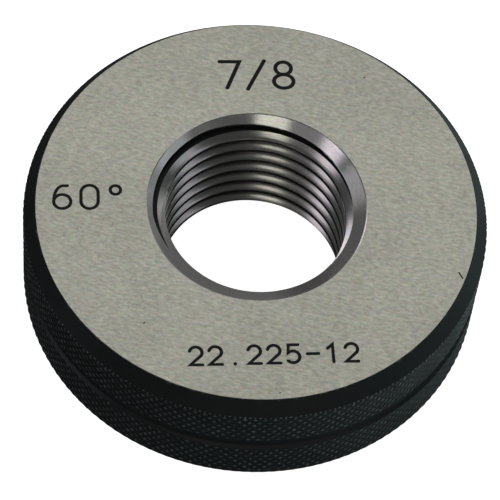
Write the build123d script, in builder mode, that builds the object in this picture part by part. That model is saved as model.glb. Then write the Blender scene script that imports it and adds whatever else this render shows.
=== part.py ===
from build123d import *
from build123d.topology import SkipClean

import os
from math import radians, tan

# A solid thread ring gauge: one hardened steel ring with a right-hand thread through it.
# Millimetres. The origin is on the axis, in the plane of the underside, and +Z points up.

# ring
outer_diameter = 51.5
thickness = 16.0
rim_chamfer_width = 1.35
rim_chamfer_height = 1.85

# grip: two bands for the fingers, parted by a turned groove a little above mid-height
groove_width = 2.2
groove_depth = 0.45
groove_side_height = 0.15
groove_floor_chamfer = 0.15
groove_rise = 0.2

# thread: twelve turns to the inch, 60 degree form, a flat crest and a narrow root
thread_minor_diameter = 20.13
threads_per_inch = 12
flank_half_angle = 30.0
crest_flat = 0.42
root_flat = 0.06
thread_start_angle = 106.0

# bore mouths: a cone at each end takes off the incomplete first turn
upper_mouth_depth = 1.65
lower_mouth_depth = 1.15
mouth_half_angle = 52.0

# a cutter starts this far inside the bore, so that no edge of it lies on the wall
cutter_overrun = 0.2
millimetres_per_inch = 25.4
full_turn = 360.0
bore_sectors = 4

outer_radius = outer_diameter / 2
face_radius = outer_radius - rim_chamfer_width
groove_radius = outer_radius - groove_depth
groove_centre = thickness / 2 + groove_rise
groove_floor_half_width = groove_width / 2 - groove_side_height

pitch = millimetres_per_inch / threads_per_inch
flank_slope = tan(radians(flank_half_angle))
crest_radius = thread_minor_diameter / 2
root_radius = crest_radius + (pitch - crest_flat - root_flat) / (2 * flank_slope)
mouth_slope = tan(radians(mouth_half_angle))
upper_mouth_radius = crest_radius + upper_mouth_depth * mouth_slope
lower_mouth_radius = crest_radius + lower_mouth_depth * mouth_slope

# one turn of the thread groove: its section, swept once round a helix
cutter_radius = crest_radius - cutter_overrun
root_half_flat = root_flat / 2
cutter_half_width = root_half_flat + (root_radius - cutter_radius) * flank_slope

with BuildPart() as groove_turn:
    with BuildLine() as turn_path:
        Helix(pitch, pitch, crest_radius)
    with BuildSketch(Plane.XZ):
        with BuildLine():
            Polyline(
                (root_radius, -root_half_flat),
                (root_radius, root_half_flat),
                (cutter_radius, cutter_half_width),
                (cutter_radius, -cutter_half_width),
                close=True,
            )
        make_face()
    sweep(path=turn_path.line, is_frenet=True)

# one sector of the bore and its two mouths: each strip of crest that the thread leaves is then a
# face of its own, no longer than the sector
with BuildPart() as bore_sector:
    with BuildSketch(Plane.XZ):
        with BuildLine():
            Polyline(
                (0, 0),
                (lower_mouth_radius, 0),
                (crest_radius, lower_mouth_depth),
                (crest_radius, thickness - upper_mouth_depth),
                (upper_mouth_radius, thickness),
                (0, thickness),
                close=True,
            )
        make_face()
    revolve(axis=Axis.Z, revolution_arc=full_turn / bore_sectors)

with BuildPart() as gauge_ring:
    # the turned blank: chamfered rim, two grip bands and the groove between them
    with BuildSketch(Plane.XZ) as blank_section:
        with BuildLine():
            Polyline(
                (0, 0),
                (face_radius, 0),
                (outer_radius, rim_chamfer_height),
                (outer_radius, groove_centre - groove_width / 2),
                (groove_radius, groove_centre - groove_floor_half_width),
                (groove_radius, groove_centre + groove_floor_half_width),
                (outer_radius, groove_centre + groove_width / 2),
                (outer_radius, thickness - rim_chamfer_height),
                (face_radius, thickness),
                (0, thickness),
                close=True,
            )
        make_face()
        floor_corners = blank_section.vertices().sort_by(Axis.X).group_by(Axis.X)[-2]
        chamfer(floor_corners, groove_floor_chamfer)
    revolve(axis=Axis.Z)

    # the crest strips stay split at the sector seams, so the cuts don't merge their faces
    with SkipClean():
        # the bore, sector by sector round the axis
        with PolarLocations(0, bore_sectors):
            add(bore_sector.part, mode=Mode.SUBTRACT)

        # the thread, turn above turn from below the underside to above the face
        turns_through = int(thickness / pitch) + 2
        with Locations([(0, 0, turn * pitch) for turn in range(-1, turns_through)]):
            add(groove_turn.part, rotation=(0, 0, thread_start_angle), mode=Mode.SUBTRACT)

gauge_ring.part.label = "gauge_ring"

os.makedirs("parts", exist_ok=True)
export_step(gauge_ring.part, "parts/gauge_ring.step")
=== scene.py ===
import math

import bmesh
import bpy
import numpy as np
from mathutils import Matrix, Vector
from mathutils.geometry import delaunay_2d_cdt


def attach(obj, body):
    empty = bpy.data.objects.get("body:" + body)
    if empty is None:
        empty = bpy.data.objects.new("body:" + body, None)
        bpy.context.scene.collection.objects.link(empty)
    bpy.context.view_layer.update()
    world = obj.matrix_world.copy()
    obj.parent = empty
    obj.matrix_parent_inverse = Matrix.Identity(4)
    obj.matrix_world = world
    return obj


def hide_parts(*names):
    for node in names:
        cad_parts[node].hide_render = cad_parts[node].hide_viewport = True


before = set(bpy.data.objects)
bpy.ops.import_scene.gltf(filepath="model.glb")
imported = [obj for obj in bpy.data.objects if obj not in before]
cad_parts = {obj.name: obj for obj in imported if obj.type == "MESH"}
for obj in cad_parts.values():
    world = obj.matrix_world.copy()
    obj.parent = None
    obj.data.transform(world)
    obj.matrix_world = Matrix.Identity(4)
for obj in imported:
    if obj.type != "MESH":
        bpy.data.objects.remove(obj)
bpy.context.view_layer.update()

mm = 0.001
tiny = 1e-6  # what is smaller counts as nothing

# the turned ring, in millimetres
ring = {
    "outerRadius": 25.75,
    "height": 16.0,
    "chamferWidth": 1.35,
    "chamferHeight": 1.85,
    "edgeBreak": 0.05,
    "edgeRub": 0.8,  # how far the broken edges are rubbed bare
    "guardLoop": 0.14,  # a loop this close to the knurl keeps its rubbed tips from spreading over the chamfer
}

# the plain groove between the two grip bands
gripGroove = {
    "low": 7.1,
    "high": 9.3,
    "depth": 0.45,
    "sideHeight": 0.45,
    "floorFillet": 0.3,
}

# the thread: right hand, twelve turns to the inch, 60 degree form, a little hollow on its flanks from lapping, with a
# narrow relief slot at the root, coloured black as painted shade
thread = {
    "crestRadius": 10.065,
    "rootRadius": 11.4817,
    "pitch": 25.4 / 12,
    "grooveHalfWidth": 0.815,
    "crestBreak": 0.06,
    "crestBreakShape": (0.5, 0.87),  # across and into the groove, as shares of crestBreak
    "flank": ((10.26, 68.0), (10.44, 65.0), (10.95, 62.0)),  # the radius that each slope reaches
    "leastSlot": 0.02,  # the slot is never shallower than this
    "runOut": (15.33, 15.48),  # heights between which the slot rises out of the work
    "startAngle": 106.0,
    "upperMouth": 1.65,
    "lowerMouth": 1.15,
    "mouthHalfAngle": 52.0,
    "coneTolerance": 0.002,  # what lies this close to a mouth cone is finished as the mouth
    "featherCut": 0.17,  # the most that is stoned off the thin edge at the upper mouth
    "featherFrom": 0.2,
    "featherShare": 0.5,
    "leastFeatherCut": 0.004,
    "columns": 360,
    "turns": (-3, 10),  # enough to reach past both mouths
}

# the diamond knurl, cut into both grip bands; chamferRub and grooveRub say how bare the tips are at a band's edges
knurl = {
    "around": 149,
    "steps": 6,
    "axialPitch": 1.26,
    "depth": 0.09,
    "steepness": 3,  # a groove's side takes a third of the pitch
    "leastRise": 0.015,  # rows of points keep this far from a band's edge
    "halvings": 30,  # to find where the knurl ends on a slope
    "tipAngle": -70.1,
    "tipHeight": 13.85,
    "chamferRub": 1.9,
    "grooveRub": 0.85,
}

# slots of the ring's mesh
# the last slot holds the etched marks and also the painted shade in the thread's root slot
groundSteel, lappedSteel, mouthSteel, blackOxide, inkAndSlotShade = range(5)


class RingMesh:
    # collects the points and faces of one closed mesh
    def __init__(self):
        self.points = []
        self.rub = []
        self.faces = []
        self.slots = []

    def point(self, x, y, z, rub=0.0):
        self.points.append((x * mm, y * mm, z * mm))
        self.rub.append(rub)
        return len(self.points) - 1

    def polar(self, radius, angle, z, rub=0.0):
        return self.point(radius * math.cos(angle), radius * math.sin(angle), z, rub)

    def loop(self, radius, angles, z, rub=0.0):
        return [self.polar(radius, angle, z, rub) for angle in angles]

    def face(self, corners, slot):
        kept = [c for i, c in enumerate(corners) if c != corners[i - 1]]
        if len(kept) > 2 and len(set(kept)) == len(kept):
            self.faces.append(kept)
            self.slots.append(slot)

    def strip(self, lower, upper, slot):
        # a ring of quads between two loops of the same length
        for i in range(len(lower)):
            self.face([lower[i - 1], lower[i], upper[i], upper[i - 1]], slot)


def makeBore(mesh):
    # one profile for each column of the bore: thread turns, cut back where a mouth cone has taken them away
    crest, root, pitch = thread["crestRadius"], thread["rootRadius"], thread["pitch"]
    cone = math.tan(math.radians(thread["mouthHalfAngle"]))
    top = ring["height"]
    upper, lower = top - thread["upperMouth"], thread["lowerMouth"]
    side, crestBreak = -thread["grooveHalfWidth"], thread["crestBreak"]
    along, deep = thread["crestBreakShape"]
    half = [(side - crestBreak, crest), (side + crestBreak * along, crest + crestBreak * deep)]
    for reach, normal in thread["flank"]:
        z, r = half[-1]
        half.append((z + (reach - r) / math.tan(math.radians(normal)), reach))
    half.append((half[-1][0], root))
    turn = half + [(-z, r) for z, r in reversed(half)]
    slotStart = thread["flank"][-1][0] + thread["leastSlot"]

    def rootAt(z):
        # the slot rises out of the work as its turn leaves through the upper mouth
        start, end = thread["runOut"]
        return root + (slotStart - root) * min(1.0, max(0.0, (z - start) / (end - start)))

    size = len(turn)
    # faces of the root slot, coloured black as painted shade
    slotShadeRows = range(len(half) - 2, len(half) + 1)
    flank = 1 / math.tan(math.radians(thread["flank"][0][1]))

    def clearance(z, r):
        # how far a profile point lies outside both mouth cones
        return min(r - crest - (z - upper) * cone, r - crest - (lower - z) * cone)

    def crossing(a, c):
        fa, fc = clearance(*a), clearance(*c)
        t = fa / (fa - fc)
        return (a[0] + (c[0] - a[0]) * t, a[1] + (c[1] - a[1]) * t)

    columns = []
    count = thread["columns"]
    e = ring["edgeBreak"]
    topRadius = crest + thread["upperMouth"] * cone
    bottomRadius = crest + thread["lowerMouth"] * cone
    for column in range(count):
        angle = 2 * math.pi * column / count
        degrees = 360.0 * column / count
        centre = pitch * (degrees - thread["startAngle"]) / 360.0
        middles = [centre + k * pitch for k in range(*thread["turns"])]
        profile = [(z + dz, min(r, rootAt(z))) for z in middles for dz, r in turn]
        solid = [clearance(*p) > tiny for p in profile]
        first = solid.index(True)
        last = len(solid) - 1 - solid[::-1].index(True)
        indices = [None] * len(profile)
        # below the first whole point and above the last one the profile has run into a mouth cone
        low = crossing(profile[first], profile[first - 1])
        high = crossing(profile[last], profile[last + 1])
        indices[:first] = [mesh.polar(low[1], angle, low[0])] * first
        rest = len(profile) - last - 1
        # the thin edge between the last turn and the cone is stoned back
        room = (high[1] - crest - thread["featherFrom"]) * thread["featherShare"] if high[0] > upper else 0.0
        room = min(room, rootAt(middles[last // size]) - high[1] - thread["leastSlot"])
        cut = min(thread["featherCut"], max(0.0, room))
        if cut > thread["leastFeatherCut"]:
            r = high[1] + cut
            a = mesh.polar(r, angle, high[0] - cut * flank)
            c = mesh.polar(r, angle, upper + (r - crest) / cone)
            indices[last + 1:] = [a] + [c] * (rest - 1)
        else:
            indices[last + 1:] = [mesh.polar(high[1], angle, high[0])] * rest
        i = first
        while i <= last:
            if solid[i]:
                indices[i] = mesh.polar(profile[i][1], angle, profile[i][0])
                i += 1
                continue
            j = i
            while not solid[j]:
                j += 1
            enter, leave = crossing(profile[i - 1], profile[i]), crossing(profile[j], profile[j - 1])
            if j - i == 1:
                middle = ((enter[0] + leave[0]) / 2, (enter[1] + leave[1]) / 2)
                indices[i] = mesh.polar(middle[1], angle, middle[0])
            else:
                near, far = mesh.polar(enter[1], angle, enter[0]), mesh.polar(leave[1], angle, leave[0])
                split = max(1, sum(1 for k in range(i, j) if k // size == (i - 1) // size))
                split = min(split, j - i - 1)
                indices[i:j] = [near] * split + [far] * (j - i - split)
            i = j
        bottom = [mesh.polar(bottomRadius + e, angle, 0), mesh.polar(bottomRadius - e * cone, angle, e)]
        mouth = [mesh.polar(topRadius - e * cone, angle, top - e), mesh.polar(topRadius + e, angle, top)]
        columns.append(bottom + indices + mouth)
    for column in range(count):
        here, there = columns[column], columns[(column + 1) % count]
        if column == count - 1:
            # a turn higher at the seam
            inner = there[2:-2]
            there = there[:2] + inner[size:] + [inner[-1]] * size + there[-2:]
        for k in range(len(here) - 1):
            corners = [here[k], there[k], there[k + 1], here[k + 1]]
            onMouth = k < 2 or k > len(here) - 3
            if not onMouth:
                places = [(mesh.points[c][2] / mm, math.hypot(*mesh.points[c][:2]) / mm) for c in corners]
                onMouth = all(abs(clearance(z, r)) < thread["coneTolerance"] for z, r in places)
            # the root slot's faces take the ink finish: painted shade
            slot = mouthSteel if onMouth else inkAndSlotShade if (k - 2) % size in slotShadeRows else lappedSteel
            mesh.face(corners, slot)
    return [c[0] for c in columns], [c[-1] for c in columns]


def fillet(corner, before, after, radius, steps=3):
    # points of an arc that rounds a corner of a (z, r) profile
    a, c = Vector(before) - Vector(corner), Vector(after) - Vector(corner)
    a.normalize()
    c.normalize()
    half = a.angle(c) / 2
    centre = Vector(corner) + (a + c).normalized() * (radius / math.sin(half))
    start = Vector(corner) + a * (radius / math.tan(half)) - centre
    end = Vector(corner) + c * (radius / math.tan(half)) - centre
    points = []
    for k in range(steps + 1):
        t = k / steps
        points.append(centre + (start * (1 - t) + end * t).normalized() * radius)
    return [(p.x, p.y) for p in points]


def makeRim(mesh):
    # the rim from the underside up: chamfer, knurled band, groove, knurled band, chamfer
    steps = knurl["steps"]
    count = knurl["around"] * steps
    start = math.radians(knurl["tipAngle"])
    angles = [start + 2 * math.pi * i / count for i in range(count)]
    radius, top = ring["outerRadius"], ring["height"]
    width, height, e = ring["chamferWidth"], ring["chamferHeight"], ring["edgeBreak"]
    rise = knurl["axialPitch"] / steps
    columns = np.arange(count)

    def cutDepth(z):
        # depth of the knurl below the outer radius, at every column for heights z
        j = (z - knurl["tipHeight"]) / rise
        a, c = (0.5 + (columns + j) / steps) % 1.0, (0.5 + (columns - j) / steps) % 1.0
        level = np.minimum(np.minimum(a, 1 - a), np.minimum(c, 1 - c)) * knurl["steepness"]
        return knurl["depth"] * (1 - np.minimum(level, 1.0))

    def edgeHeight(edge, slope, direction):
        # where the knurled surface meets a slope that leaves the band at height edge
        low, high = np.zeros(count), np.full(count, knurl["depth"] / slope)
        for _ in range(knurl["halvings"]):
            middle = (low + high) / 2
            inside = cutDepth(edge + direction * middle) > middle * slope
            low, high = np.where(inside, middle, low), np.where(inside, high, middle)
        return edge + direction * low, low * slope

    def band(low, lowSlope, lowRub, high, highSlope, highRub):
        bottomZ, bottomDepth = edgeHeight(low, lowSlope, -1)
        topZ, topDepth = edgeHeight(high, highSlope, 1)
        # the tips at a band's edge are rubbed more at a chamfer than at the groove
        first = [mesh.polar(radius - d, a, z, lowRub * (1 - d / knurl["depth"]))
                 for d, a, z in zip(bottomDepth, angles, bottomZ)]
        last = [mesh.polar(radius - d, a, z, highRub * (1 - d / knurl["depth"]))
                for d, a, z in zip(topDepth, angles, topZ)]
        rows = [first]
        depths = [bottomDepth]
        j = math.ceil((bottomZ.min() - knurl["tipHeight"]) / rise)
        while knurl["tipHeight"] + j * rise < topZ.max():
            z = knurl["tipHeight"] + j * rise
            depth = cutDepth(z)
            row = []
            for i in range(count):
                if z < bottomZ[i] + knurl["leastRise"]:
                    row.append(first[i])
                elif z > topZ[i] - knurl["leastRise"]:
                    row.append(last[i])
                else:
                    tip = 1.0 - depth[i] / knurl["depth"]
                    row.append(mesh.polar(radius - depth[i], angles[i], z, tip))
            rows.append(row)
            depths.append(depth)
            j += 1
        rows.append(last)
        depths.append(topDepth)
        for k in range(len(rows) - 1):
            low, high, dl, dh = rows[k], rows[k + 1], depths[k], depths[k + 1]
            for i in range(count):
                p, q, r, s = low[i - 1], low[i], high[i], high[i - 1]
                if abs(dl[i - 1] - dh[i]) < abs(dl[i] - dh[i - 1]):
                    mesh.face([p, q, r], blackOxide)
                    mesh.face([p, r, s], blackOxide)
                else:
                    mesh.face([p, q, s], blackOxide)
                    mesh.face([q, r, s], blackOxide)
        return first, last

    slope = width / height
    sideSlope = gripGroove["depth"] / gripGroove["sideHeight"]
    outerRub, grooveRub = knurl["chamferRub"], knurl["grooveRub"]
    lowerFirst, lowerLast = band(height, slope, outerRub, gripGroove["low"], sideSlope, grooveRub)
    upperFirst, upperLast = band(gripGroove["high"], sideSlope, grooveRub, top - height, slope, outerRub)
    floor = radius - gripGroove["depth"]
    lowCorner = (gripGroove["low"] + gripGroove["sideHeight"], floor)
    highCorner = (gripGroove["high"] - gripGroove["sideHeight"], floor)
    middle = ((lowCorner[0] + highCorner[0]) / 2, floor)
    profile = fillet(lowCorner, (gripGroove["low"], radius), middle, gripGroove["floorFillet"])
    profile += fillet(highCorner, middle, (gripGroove["high"], radius), gripGroove["floorFillet"])
    length = math.hypot(width, height)
    along = (width / length * e, height / length * e)
    near = ring["guardLoop"] + knurl["depth"]
    bottom = [mesh.loop(radius - width - e, angles, 0, ring["edgeRub"]),
              mesh.loop(radius - width + along[0], angles, along[1], ring["edgeRub"]),
              mesh.loop(radius - near, angles, height - near / slope)]
    groove = [mesh.loop(r, angles, z) for z, r in profile]
    upper = [mesh.loop(radius - near, angles, top - height + near / slope),
             mesh.loop(radius - width + along[0], angles, top - along[1], ring["edgeRub"]),
             mesh.loop(radius - width - e, angles, top, ring["edgeRub"])]
    for loops in (bottom + [lowerFirst], [lowerLast] + groove + [upperFirst], [upperLast] + upper):
        for k in range(len(loops) - 1):
            mesh.strip(loops[k], loops[k + 1], blackOxide)
    return bottom[0], upper[-1]


def bend(cx, cy, rx, ry, start, end, steps=10):
    # points of an elliptical arc
    angles = [math.radians(start + (end - start) * k / steps) for k in range(steps + 1)]
    return [(cx + rx * math.cos(a), cy + ry * math.sin(a)) for a in angles]


# engraved figures as centre lines in a box one unit high
figures = {
    "0": [bend(0.31, 0.69, 0.31, 0.31, 0, 180) + bend(0.31, 0.31, 0.31, 0.31, 180, 360) + [(0.62, 0.69)]],
    "1": [[(0.1, 0.76), (0.36, 1.0), (0.36, 0.0)]],
    "2": [bend(0.31, 0.69, 0.31, 0.31, 165, -35) + [(0.0, 0.0), (0.62, 0.0)]],
    "5": [[(0.56, 1.0), (0.09, 1.0), (0.04, 0.54)] + bend(0.29, 0.33, 0.33, 0.33, 128, -140)],
    "6": [[(0.5, 0.98)] + bend(0.36, 0.36, 0.35, 0.62, 100, 180, 8) + bend(0.31, 0.3, 0.31, 0.3, 180, 540, 18)],
    "7": [[(0.0, 1.0), (0.62, 1.0), (0.22, 0.0)]],
    "8": [bend(0.31, 0.76, 0.25, 0.24, -90, 270, 18), bend(0.31, 0.26, 0.31, 0.26, 90, 450, 18)],
    "/": [[(0.02, -0.04), (0.56, 1.04)]],
    "-": [[(0.04, 0.48), (0.6, 0.48)]],
    ".": [[(0.3, 0.0), (0.3, 0.03)]],
    "°": [bend(0.26, 0.8, 0.19, 0.19, 0, 360, 14)],
}

# plain numbers on the upper face: the place of the first one, the slant of the row and the sizes in millimetres
markRows = [
    {"text": "7/8", "start": (-5.6, 15.05), "slant": 7.5, "height": 3.6, "advance": 3.05, "line": 0.46},
    {"text": "60°", "start": (-22.1, -3.45), "slant": 7.6, "height": 3.05, "advance": 3.0, "line": 0.37},
    {"text": "22.225-12", "start": (-5.15, -21.05), "slant": 9.0, "height": 2.2, "advance": 2.09, "line": 0.37},
]

# small nicks in the ground face, each a short line with its width
nicks = [
    ((22.75, -5.7), (23.2, -6.4), 0.16),
    ((10.42, 18.64), (10.5, 18.7), 0.14),
    ((-10.62, -16.56), (-10.56, -16.5), 0.13),
    ((4.66, -23.18), (4.74, -23.14), 0.12),
]
markDepth = 0.04

# how the strokes of marks and nicks are cut
stroke = {
    "sharpBend": 0.5,  # in radians; a bend above it is rounded on its outside
    "leastMitre": 0.5,  # keeps the outside of a bend short
    "endParts": 6,
    "weld": 1e-5,  # points closer than this are one
    "inside": 0.995,  # the share of its half width that surely lies in a stroke
}


def markLines():
    lines = []
    for row in markRows:
        turn = Matrix.Rotation(math.radians(row["slant"]), 2)
        for place, figure in enumerate(row["text"]):
            ahead = place * row["advance"]
            for line in figures[figure]:
                spots = [Vector((x * row["height"] + ahead, y * row["height"])) for x, y in line]
                lines.append(([Vector(row["start"]) + turn @ spot for spot in spots], row["line"] / 2))
    for start, end, width in nicks:
        lines.append(([Vector(start), Vector(end)], width / 2))
    return lines


def outline(points, half):
    # both sides of a round-ended stroke as closed loops
    closed = (points[0] - points[-1]).length < tiny
    if closed:
        points = points[:-1]
    count = len(points)
    sides = []
    for sign in (1, -1):
        side = []
        for i, p in enumerate(points):
            before = p - points[i - 1] if closed or i > 0 else points[1] - p
            after = points[(i + 1) % count] - p if closed or i < count - 1 else before
            if not closed and i == 0:
                before = after
            a = Vector((-before.y, before.x)).normalized() * sign
            c = Vector((-after.y, after.x)).normalized() * sign
            bendAngle = a.angle_signed(c, 0.0)
            if abs(bendAngle) > stroke["sharpBend"] and (bendAngle > 0) == (sign < 0):
                side += [p + (a * (1 - t) + c * t).normalized() * half for t in (0, 0.25, 0.5, 0.75, 1)]
            else:
                m = (a + c).normalized()
                side.append(p + m * (half / max(stroke["leastMitre"], m.dot(a))))
        sides.append(side)
    if closed:
        return sides
    left, right = sides
    ends = []
    for p, q in ((points[-1], points[-2]), (points[0], points[1])):
        ahead = (p - q).normalized()
        across = Vector((-ahead.y, ahead.x))
        ends.append([p + (across * math.cos(a) + ahead * math.sin(a)) * half
                     for a in (math.pi * k / stroke["endParts"] for k in range(1, stroke["endParts"]))])
    return [left + ends[0] + right[::-1] + ends[1]]


def makeFlat(mesh, inner, outer, z, lines=()):
    # one flat face between the bore mouth and the rim, with the marks sunk into it
    coords, known, edges = [], [], []
    for loop in (inner, outer):
        base = len(coords)
        for i, index in enumerate(loop):
            x, y, _ = mesh.points[index]
            coords.append(Vector((x / mm, y / mm)))
            known.append(index)
            edges.append((base + i, base + (i + 1) % len(loop)))
    for points, half in lines:
        for side in outline(points, half):
            base = len(coords)
            for i, p in enumerate(side):
                coords.append(p)
                known.append(None)
                edges.append((base + i, base + (i + 1) % len(side)))
    found, _, triangles, origins, _, _ = delaunay_2d_cdt(coords, edges, [], 0, stroke["weld"], True)
    spots = np.array([[p.x, p.y] for p in found])
    corners = np.array(triangles)
    centres = spots[corners].mean(axis=1)
    reach = np.hypot(centres[:, 0], centres[:, 1])
    low = np.hypot(mesh.points[inner[0]][0], mesh.points[inner[0]][1]) / mm
    sunk = np.zeros(len(corners), bool)
    for points, half in lines:
        for a, c in zip(points[:-1], points[1:]):
            a, c = np.array(a), np.array(c)
            along = c - a
            t = np.clip(((centres - a) @ along) / max(along @ along, tiny * tiny), 0, 1)
            gap = centres - a - t[:, None] * along
            sunk |= np.hypot(gap[:, 0], gap[:, 1]) < half * stroke["inside"]
    top, deep = {}, {}

    def topPoint(i):
        if i not in top:
            old = [known[k] for k in origins[i] if known[k] is not None]
            top[i] = old[0] if old else mesh.point(spots[i][0], spots[i][1], z)
        return top[i]

    def deepPoint(i):
        if i not in deep:
            deep[i] = mesh.point(spots[i][0], spots[i][1], z - markDepth)
        return deep[i]

    owners = {}
    for n, corner in enumerate(corners):
        if reach[n] < low * math.cos(math.pi / len(inner)):
            continue
        pick = deepPoint if sunk[n] else topPoint
        mesh.face([pick(i) for i in corner], inkAndSlotShade if sunk[n] else groundSteel)
        for i in range(3):
            a, c = int(corner[i]), int(corner[(i + 1) % 3])
            owners.setdefault((min(a, c), max(a, c)), []).append((n, a, c))
    for sides in owners.values():
        if len(sides) == 2 and sunk[sides[0][0]] != sunk[sides[1][0]]:
            _, a, c = sides[0]
            mesh.face([topPoint(a), topPoint(c), deepPoint(c), deepPoint(a)], inkAndSlotShade)


print("ring: bore and thread")
body = RingMesh()
boreLow, boreHigh = makeBore(body)
print("ring: knurled rim")
rimLow, rimHigh = makeRim(body)
print("ring: flat faces and marks")
makeFlat(body, boreHigh, rimHigh, ring["height"], markLines())
makeFlat(body, boreLow, rimLow, 0.0)


def nodeGroup(name, inputs, outputs):
    # an empty shader group with its sockets; inputs as (name, kind, value)
    group = bpy.data.node_groups.new(name, "ShaderNodeTree")
    for label, kind, value in inputs:
        socket = group.interface.new_socket(label, in_out="INPUT", socket_type=kind)
        if value is not None:
            socket.default_value = value
    for label, kind in outputs:
        group.interface.new_socket(label, in_out="OUTPUT", socket_type=kind)
    return group, group.nodes.new("NodeGroupInput"), group.nodes.new("NodeGroupOutput")


class Wiring:
    # short ways to place and join nodes in one tree, laid out in rows
    across, down, rows = 190, 220, 4

    def __init__(self, tree):
        self.tree = tree
        self.column = 0

    def node(self, kind, **settings):
        node = self.tree.nodes.new(kind)
        node.location = (self.column * self.across, -(len(self.tree.nodes) % self.rows) * self.down)
        self.column += 1
        for name, value in settings.items():
            setattr(node, name, value)
        return node

    def feed(self, socket, value):
        if isinstance(value, bpy.types.NodeSocket):
            self.tree.links.new(value, socket)
        elif value is not None:
            socket.default_value = value

    def math(self, operation, *values, clamp=False):
        node = self.node("ShaderNodeMath", operation=operation, use_clamp=clamp)
        for socket, value in zip(node.inputs, values):
            self.feed(socket, value)
        return node.outputs[0]

    def vector(self, operation, first, second=None, third=None, scale=None):
        node = self.node("ShaderNodeVectorMath", operation=operation)
        for socket, value in zip(node.inputs, (first, second, third, scale)):
            self.feed(socket, value)
        return node.outputs["Value" if operation in ("LENGTH", "DOT_PRODUCT") else "Vector"]

    def ramp(self, value, low, high, start=0.0, end=1.0):
        # a soft step from start to end
        node = self.node("ShaderNodeMapRange", interpolation_type="SMOOTHSTEP")
        names = "Value", "From Min", "From Max", "To Min", "To Max"
        for name, entry in zip(names, (value, low, high, start, end)):
            self.feed(node.inputs[name], entry)
        return node.outputs[0]

    def mix(self, amount, first, second, blend="MIX"):
        node = self.node("ShaderNodeMix", data_type="RGBA", blend_type=blend)
        for socket, entry in ((node.inputs[0], amount), (node.inputs[6], first), (node.inputs[7], second)):
            self.feed(socket, entry if isinstance(entry, (float, int, bpy.types.NodeSocket)) else (*entry, 1))
        return node.outputs[2]

    def noise(self, vector, scale, detail, rough):
        node = self.node("ShaderNodeTexNoise")
        for name, entry in (("Vector", vector), ("Scale", scale), ("Detail", detail), ("Roughness", rough)):
            self.feed(node.inputs[name], entry)
        return node.outputs

    def stretched(self, vector, scale, turn=0.0):
        node = self.node("ShaderNodeMapping")
        node.inputs["Rotation"].default_value = (0, 0, math.radians(turn))
        self.feed(node.inputs["Vector"], vector)
        self.feed(node.inputs["Scale"], scale)
        return node.outputs[0]

    def useGroup(self, group, **values):
        node = self.node("ShaderNodeGroup", node_tree=group)
        for name, entry in values.items():
            self.feed(node.inputs[name], entry)
        return node.outputs


def newMaterial(name, color, metallic, roughness, specular):
    material = bpy.data.materials.new(name)
    material.use_nodes = True
    shader = material.node_tree.nodes["Principled BSDF"]
    shader.inputs["Base Color"].default_value = (*color, 1)
    shader.inputs["Metallic"].default_value = metallic
    shader.inputs["Roughness"].default_value = roughness
    shader.inputs["Specular IOR Level"].default_value = specular
    return material


# the streaks of cut steel: a coarse streak with finer scratches over it
grainForm = {
    "streakDetail": (3.0, 0.65),
    "streakWeight": 1.4,
    "scratchScale": 2.7,
    "scratchDetail": (2.0, 0.5),
    "scratchEdge": (0.30, 0.42),
    "scratchMiddle": 0.85,
    "scratchWeight": 0.35,
}


def makeGrain():
    # short streaks of a ground or lapped surface
    group, given, result = nodeGroup(
        "grindGrain",
        [("place", "NodeSocketVector", None), ("stretch", "NodeSocketVector", (1, 1, 1)),
         ("fine", "NodeSocketFloat", 1.0), ("contrast", "NodeSocketFloat", 1.0)],
        [("shade", "NodeSocketFloat"), ("height", "NodeSocketFloat")])
    w = Wiring(group)
    inside, form = given.outputs, grainForm
    near = w.stretched(inside["place"], inside["stretch"])
    streak = w.noise(near, inside["fine"], *form["streakDetail"])["Fac"]
    finer = w.math("MULTIPLY", inside["fine"], form["scratchScale"])
    scratch = w.ramp(w.noise(near, finer, *form["scratchDetail"])["Fac"], *form["scratchEdge"])
    broad = w.math("MULTIPLY", w.math("SUBTRACT", streak, 0.5), form["streakWeight"])
    narrow = w.math("MULTIPLY", w.math("SUBTRACT", scratch, form["scratchMiddle"]), form["scratchWeight"])
    shade = w.math("MULTIPLY_ADD", w.math("ADD", broad, narrow), inside["contrast"], 1.0)
    group.links.new(shade, result.inputs["shade"])
    group.links.new(w.math("MULTIPLY", streak, scratch), result.inputs["height"])
    return group


# the stains: detail and roughness of both noises, and where a cloud starts and is full
mottleForm = {
    "spotDetail": (2.0, 0.6),
    "cloudDetail": (4.0, 0.6),
    "cloudEdge": (0.35, 0.7),
}


def makeMottle():
    # faint spots of other hues, as thin oil and old stains leave them
    group, given, result = nodeGroup(
        "metalMottle",
        [("place", "NodeSocketVector", None), ("spot", "NodeSocketFloat", 3.0), ("cloud", "NodeSocketFloat", 0.1),
         ("hue", "NodeSocketFloat", 0.1), ("stain", "NodeSocketFloat", 0.1),
         ("base", "NodeSocketColor", (0.5, 0.5, 0.5, 1))],
        [("color", "NodeSocketColor"), ("dull", "NodeSocketFloat")])
    w = Wiring(group)
    inside = given.outputs
    spots = w.noise(inside["place"], inside["spot"], *mottleForm["spotDetail"])["Color"]
    # hues spread around 1, by at most the given share
    swing = w.vector("MULTIPLY_ADD", spots, (2, 2, 2), (-1, -1, -1))
    around = w.vector("ADD", w.vector("SCALE", swing, scale=inside["hue"]), (1, 1, 1))
    clouds = w.noise(inside["place"], inside["cloud"], *mottleForm["cloudDetail"])["Fac"]
    dull = w.ramp(clouds, *mottleForm["cloudEdge"])
    darker = w.math("SUBTRACT", 1.0, w.math("MULTIPLY", dull, inside["stain"]))
    tinted = w.mix(1.0, inside["base"], around, "MULTIPLY")
    group.links.new(w.vector("SCALE", tinted, scale=darker), result.inputs["color"])
    group.links.new(dull, result.inputs["dull"])
    return group


# the noise that breaks up rubbed edges
rubDetail = (3.0, 0.6)


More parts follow.
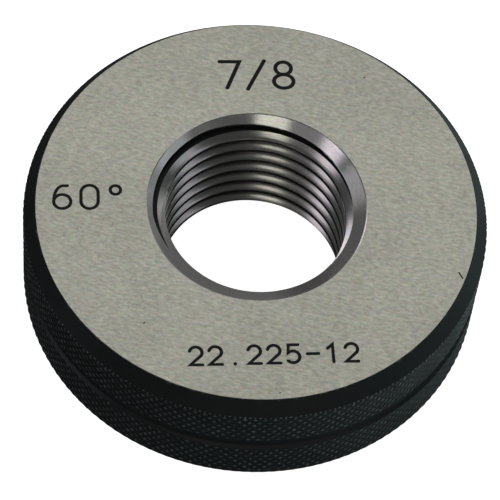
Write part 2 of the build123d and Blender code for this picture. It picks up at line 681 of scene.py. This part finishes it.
def makeRub():
    # bare metal where edges and tips are rubbed, broken up by noise
    group, given, result = nodeGroup(
        "edgeRub",
        [("place", "NodeSocketVector", None), ("rub", "NodeSocketFloat", 0.0), ("start", "NodeSocketFloat", 0.7),
         ("full", "NodeSocketFloat", 1.0), ("breakUp", "NodeSocketFloat", 0.3), ("size", "NodeSocketFloat", 2.0)],
        [("mask", "NodeSocketFloat")])
    w = Wiring(group)
    inside = given.outputs
    spread = w.math("SUBTRACT", w.noise(inside["place"], inside["size"], *rubDetail)["Fac"], 0.5)
    shifted = w.math("MULTIPLY_ADD", spread, inside["breakUp"], inside["rub"])
    group.links.new(w.ramp(shifted, inside["start"], inside["full"]), result.inputs["mask"])
    return group


grindGrain, metalMottle, edgeRub = makeGrain(), makeMottle(), makeRub()

# finishes of the ring in the order of its slots, with lengths in millimetres and noise scales per millimetre; the
# mouth is painted lighter towards the front by a lower metallic there, and the oxide is rubbed bare at edges and tips
finishes = {
    "ground_steel": {
        "color": (0.49, 0.487, 0.427), "metallic": 1.0, "specular": 0.5, "roughness": 0.42,
        "turn": 6.0, "streak": (0.6, 1.5, 1.5), "fine": 2.3, "contrast": 0.6, "grainRough": 0.25, "bump": 0.006,
        "stains": {"spot": 2.2, "hue": 0.17, "cloud": 0.07, "stain": 0.05, "rough": 0.03},
    },
    "lapped_steel": {
        "color": (0.56, 0.55, 0.54), "metallic": 1.0, "specular": 0.5, "roughness": 0.17,
        "turn": 0.0, "streak": (0.12, 0.12, 5.0), "fine": 2.4, "contrast": 0.22, "grainRough": 0.25, "bump": 0.002,
        "stains": {"spot": 1.6, "hue": 0.12, "cloud": 0.07, "stain": 0.05, "rough": 0.03},
    },
    "mouth_steel": {
        "color": (0.57, 0.56, 0.55), "metallic": 0.76, "specular": 0.5, "roughness": 0.15,
        "turn": 0.0, "streak": (0.5, 0.5, 2.2), "fine": 2.6, "contrast": 0.22, "grainRough": 0.25, "bump": 0.0025,
        "stains": {"spot": 1.8, "hue": 0.12, "cloud": 0.07, "stain": 0.05, "rough": 0.03},
        # painted light: the mouth turns less metallic towards the front, so that side reads lighter
        "paintedNearLight": {"toward": (-0.6, -0.8, 0.0), "from": 4.0, "full": 9.0, "breakUp": 2.0, "metallic": 0.5},
    },
    "black_oxide": {
        "color": (0.011, 0.013, 0.0135), "metallic": 0.0, "specular": 0.34, "roughness": 0.33,
        "turn": 0.0, "streak": (1.0, 1.0, 1.0), "fine": 3.2, "contrast": 0.5, "grainRough": -0.2, "bump": 0.004,
        "stains": {"spot": 1.2, "hue": 0.2, "cloud": 0.12, "stain": 0.25, "rough": 0.14},
        "bare": {"color": (0.36, 0.37, 0.37), "start": 0.8, "full": 1.3, "breakUp": 0.9, "size": 1.1},
    },
    # the etched marks, and the painted shade in the thread's root slot
    "etched_ink_and_slot_shade": {
        "color": (0.009, 0.010, 0.010), "metallic": 0.0, "specular": 0.2, "roughness": 0.6,
        "turn": 0.0, "streak": (1.0, 1.0, 1.0), "fine": 7.0, "contrast": 1.2, "grainRough": -0.2,
    },
}


def finishMaterial(name, finish):
    color, roughness = finish["color"], finish["roughness"]
    material = newMaterial(name, color, finish["metallic"], roughness, finish["specular"])
    w = Wiring(material.node_tree)
    shader = material.node_tree.nodes["Principled BSDF"]
    place = w.vector("SCALE", w.node("ShaderNodeTexCoord").outputs["Object"], scale=1 / mm)
    lay = w.stretched(place, (1, 1, 1), finish["turn"])
    grain = w.useGroup(grindGrain, place=lay, stretch=finish["streak"], fine=finish["fine"],
                       contrast=finish["contrast"])
    darker = w.math("SUBTRACT", 1.0, grain["shade"])
    roughness = w.math("MULTIPLY_ADD", darker, finish["grainRough"], roughness, clamp=True)
    if "stains" in finish:
        stains = finish["stains"]
        mottle = w.useGroup(metalMottle, place=lay, spot=stains["spot"], cloud=stains["cloud"], hue=stains["hue"],
                            stain=stains["stain"], base=(*color, 1))
        color = mottle["color"]
        roughness = w.math("MULTIPLY_ADD", mottle["dull"], stains["rough"], roughness, clamp=True)
    color = w.vector("SCALE", color, scale=grain["shade"])
    # painted light: a lower metallic towards the front lightens that side of the mouth
    if "paintedNearLight" in finish:
        paintedNearLight = finish["paintedNearLight"]
        side = w.vector("DOT_PRODUCT", place, paintedNearLight["toward"])
        reach = w.math("MULTIPLY_ADD", mottle["dull"], paintedNearLight["breakUp"], side)
        metallic = w.ramp(reach, paintedNearLight["from"], paintedNearLight["full"], finish["metallic"], paintedNearLight["metallic"])
        w.feed(shader.inputs["Metallic"], metallic)
    if "bare" in finish:
        bare = finish["bare"]
        rub = w.node("ShaderNodeAttribute", attribute_name="rub").outputs["Fac"]
        rubbed = w.useGroup(edgeRub, place=place, rub=rub, start=bare["start"], full=bare["full"],
                            breakUp=bare["breakUp"], size=bare["size"])["mask"]
        color = w.mix(rubbed, color, bare["color"])
        w.feed(shader.inputs["Metallic"], rubbed)
    if "bump" in finish:
        bump = w.node("ShaderNodeBump")
        bump.inputs["Distance"].default_value = finish["bump"] * mm
        w.feed(bump.inputs["Height"], grain["height"])
        w.feed(shader.inputs["Normal"], bump.outputs[0])
    w.feed(shader.inputs["Base Color"], color)
    w.feed(shader.inputs["Roughness"], roughness)
    return material


print("ring: finishes")
materials = [finishMaterial(name, finish) for name, finish in finishes.items()]

# edges bent by more than this many degrees stay crisp, on the mouth cones and elsewhere
crispAngle = {"mouth": 9, "elsewhere": 18}

print("ring: joined mesh")
data = bpy.data.meshes.new("ring_steel")
data.from_pydata(body.points, [], body.faces)
for material in materials:
    data.materials.append(material)
data.polygons.foreach_set("material_index", body.slots)
rub = data.attributes.new("rub", "FLOAT", "POINT")
rub.data.foreach_set("value", body.rub)
bm = bmesh.new()
bm.from_mesh(data)
bmesh.ops.recalc_face_normals(bm, faces=bm.faces)
for edge in bm.edges:
    onMouth = any(face.material_index == mouthSteel for face in edge.link_faces)
    edge.smooth = edge.calc_face_angle(0.0) < math.radians(crispAngle["mouth" if onMouth else "elsewhere"])
for face in bm.faces:
    face.smooth = True
bm.to_mesh(data)
bm.free()
gauge = bpy.data.objects.new("ring_steel", data)
bpy.context.scene.collection.objects.link(gauge)
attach(gauge, "root")
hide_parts("gauge_ring")

# the camera: height and roll in degrees, distance in millimetres, and focal, faceCentre and side in pixels
view = {
    "height": 57.44,
    "roll": 6.51,
    "distance": 325.3984,
    "focal": 2951.6,
    "faceCentre": (256.93, 205.07),  # where the middle of the upper face comes out
    "side": 500,
    "sensor": 36.0,
    "clip": (0.01, 10.0),
}


def makeCamera():
    e, roll = math.radians(view["height"]), math.radians(view["roll"])
    back = Vector((0, -math.cos(e), math.sin(e)))
    side = Vector((1, 0, 0))
    up = back.cross(side)
    right = side * math.cos(roll) + up * math.sin(roll)
    up = up * math.cos(roll) - side * math.sin(roll)
    place = (Vector((0, 0, ring["height"])) + back * view["distance"]) * mm
    # aimed a little off the middle of the upper face
    aside, below = (view["side"] / 2 - c for c in view["faceCentre"])
    ahead = (-back * view["focal"] + right * aside - up * below).normalized()
    right = (right - ahead * right.dot(ahead)).normalized()
    up = right.cross(ahead)
    data = bpy.data.cameras.new("camera")
    data.sensor_width = view["sensor"]
    data.lens = math.hypot(view["focal"], aside, below) / view["side"] * view["sensor"]
    data.clip_start, data.clip_end = view["clip"]
    camera = bpy.data.objects.new("camera", data)
    matrix = Matrix((right, up, -ahead)).transposed().to_4x4()
    matrix.translation = place
    camera.matrix_world = matrix
    bpy.context.scene.collection.objects.link(camera)
    bpy.context.scene.camera = camera


# a dim surround with soft panels: direction of a panel's middle (0 is the camera's side, 90 the right), its half width
# and half height, and the width of its soft edges, all in degrees; the floor is pale to the eye, and in what the steel
# mirrors it is dull, more so on the left and not at all bright under the bore
studio = {
    "dim": (0.050, 0.053, 0.051),
    "floorReach": 3,
    "floorLevel": -0.00001,  # a hair below the underside, so that the two never show through each other
    "floorWhite": 0.97,
    "floorColor": (0.9, 0.9, 0.9),
    "floorRoughness": 0.9,
    "floorMirrored": (0.06, 0.06, 0.06),
    "floorGlow": {"left": 0.02, "right": 0.46, "from": -0.04, "to": 0.12, "hole": (0.016, 0.028),
                  "color": (0.76, 1.0, 0.98)},
    "panels": {
        "overhead": {"from": (180, 52), "half": (34, 26), "edge": (24, 7), "light": (0.80, 0.80, 0.78)},
        "cameraSide": {"from": (-6, 57.5), "half": (14, 11), "edge": (6, 5), "light": (1.35, 1.32, 1.17)},
        "leftWindow": {"from": (-68, 38), "half": (4, 3), "edge": (11, 7), "light": (1.5, 1.38, 1.52)},
        "leftUpper": {"from": (-75, 54), "half": (7, 6), "edge": (9, 6), "light": (1.15, 1.06, 1.15)},
        "betweenThem": {"from": (-44, 48), "half": (12, 12), "edge": (9, 8), "light": (0.17, 0.165, 0.165)},
        "wallSide": {"from": (-132, 32), "half": (6, 4), "edge": (9, 6), "light": (1.0, 0.96, 1.05)},
        "leftFar": {"from": (-102, 28), "half": (9, 5), "edge": (10, 9), "light": (0.42, 0.41, 0.44)},
        "frontLow": {"from": (20, 29), "half": (36, 5), "edge": (16, 8), "light": (0.5, 0.5, 0.48)},
        "leftLow": {"from": (-74, 21), "half": (10, 3), "edge": (10, 6), "light": (1.2, 1.35, 1.5)},
        "right": {"from": (92, 36), "half": (11, 8), "edge": (13, 9), "light": (0.41, 0.45, 0.47)},
        "rightUpper": {"from": (101, 57), "half": (5, 5), "edge": (9, 6), "light": (0.47, 0.46, 0.5)},
        "rightLow": {"from": (112, 19), "half": (12, 6), "edge": (12, 8), "light": (0.21, 0.24, 0.25)},
        "rightFar": {"from": (140, 5), "half": (16, 8), "edge": (12, 8), "light": (0.09, 0.09, 0.087)},
        "under": {"from": (0, -65), "half": (181, 25), "edge": (1, 20), "light": (0.6, 0.6, 0.58)},
    },
}


def makeStudio():
    shape = ("middleAzimuth", "middleElevation", "halfWidth", "halfHeight", "sideEdge", "topEdge")
    group, given, result = nodeGroup(
        "softPanel", [(name, "NodeSocketFloat", 0.0) for name in ("azimuth", "elevation", *shape)],
        [("mask", "NodeSocketFloat")])
    w = Wiring(group)
    inside = given.outputs
    turned = w.math("SUBTRACT", inside["azimuth"], inside["middleAzimuth"])
    aside = w.math("ABSOLUTE", w.math("WRAP", turned, 180.0, -180.0))
    above = w.math("ABSOLUTE", w.math("SUBTRACT", inside["elevation"], inside["middleElevation"]))
    wide = w.ramp(aside, inside["halfWidth"], w.math("ADD", inside["halfWidth"], inside["sideEdge"]), 1.0, 0.0)
    tall = w.ramp(above, inside["halfHeight"], w.math("ADD", inside["halfHeight"], inside["topEdge"]), 1.0, 0.0)
    group.links.new(w.math("MULTIPLY", wide, tall), result.inputs["mask"])

    world = bpy.data.worlds.new("studio")
    bpy.context.scene.world = world
    world.use_nodes = True
    w = Wiring(world.node_tree)
    split = w.node("ShaderNodeSeparateXYZ")
    w.feed(split.inputs[0], w.node("ShaderNodeTexCoord").outputs["Generated"])
    across, away, up = split.outputs
    degree = 180 / math.pi
    azimuth = w.math("MULTIPLY", w.math("ARCTAN2", across, w.math("MULTIPLY", away, -1.0)), degree)
    elevation = w.math("MULTIPLY", w.math("ARCSINE", up), degree)
    total = studio["dim"]
    for panel in studio["panels"].values():
        sizes = zip(shape, (*panel["from"], *panel["half"], *panel["edge"]))
        mask = w.useGroup(group, azimuth=azimuth, elevation=elevation, **dict(sizes))["mask"]
        total = w.vector("ADD", total, w.vector("SCALE", panel["light"], scale=mask))
    background = world.node_tree.nodes["Background"]
    w.feed(background.inputs["Color"], total)
    # behind the ring the camera sees the same pale white as the floor
    pale = w.node("ShaderNodeBackground")
    pale.inputs["Color"].default_value = (1, 1, 1, 1)
    choose = w.node("ShaderNodeMixShader")
    w.feed(choose.inputs[0], w.node("ShaderNodeLightPath").outputs["Is Camera Ray"])
    w.feed(choose.inputs[1], background.outputs[0])
    w.feed(choose.inputs[2], pale.outputs[0])
    w.feed(world.node_tree.nodes["World Output"].inputs["Surface"], choose.outputs[0])


def makeFloor():
    mesh = bpy.data.meshes.new("floor")
    reach, level = studio["floorReach"], studio["floorLevel"]
    corners = [(-reach, -reach, level), (reach, -reach, level), (reach, reach, level), (-reach, reach, level)]
    mesh.from_pydata(corners, [], [(0, 1, 2, 3)])
    floor = bpy.data.objects.new("floor", mesh)
    bpy.context.scene.collection.objects.link(floor)
    paper = newMaterial("floor_paper", studio["floorColor"], 0.0, studio["floorRoughness"], 0.0)
    w = Wiring(paper.node_tree)
    shader = paper.node_tree.nodes["Principled BSDF"]
    seen = w.node("ShaderNodeLightPath").outputs["Is Camera Ray"]
    glow = studio["floorGlow"]
    where = w.node("ShaderNodeTexCoord").outputs["Object"]
    split = w.node("ShaderNodeSeparateXYZ")
    w.feed(split.inputs[0], where)
    aside = w.ramp(split.outputs[0], glow["from"], glow["to"], glow["left"], glow["right"])
    around = w.math("MULTIPLY", aside, w.ramp(w.vector("LENGTH", where), *glow["hole"]))
    unseen = w.math("MULTIPLY", w.math("SUBTRACT", 1.0, seen), around)
    w.feed(shader.inputs["Emission Color"], w.mix(seen, glow["color"], (1, 1, 1)))
    w.feed(shader.inputs["Emission Strength"], w.math("MULTIPLY_ADD", seen, studio["floorWhite"], unseen))
    w.feed(shader.inputs["Base Color"], w.mix(seen, studio["floorMirrored"], studio["floorColor"]))
    mesh.materials.append(paper)


print("camera and light")
makeCamera()
makeFloor()
makeStudio()
bpy.context.scene.view_settings.view_transform = "Standard"
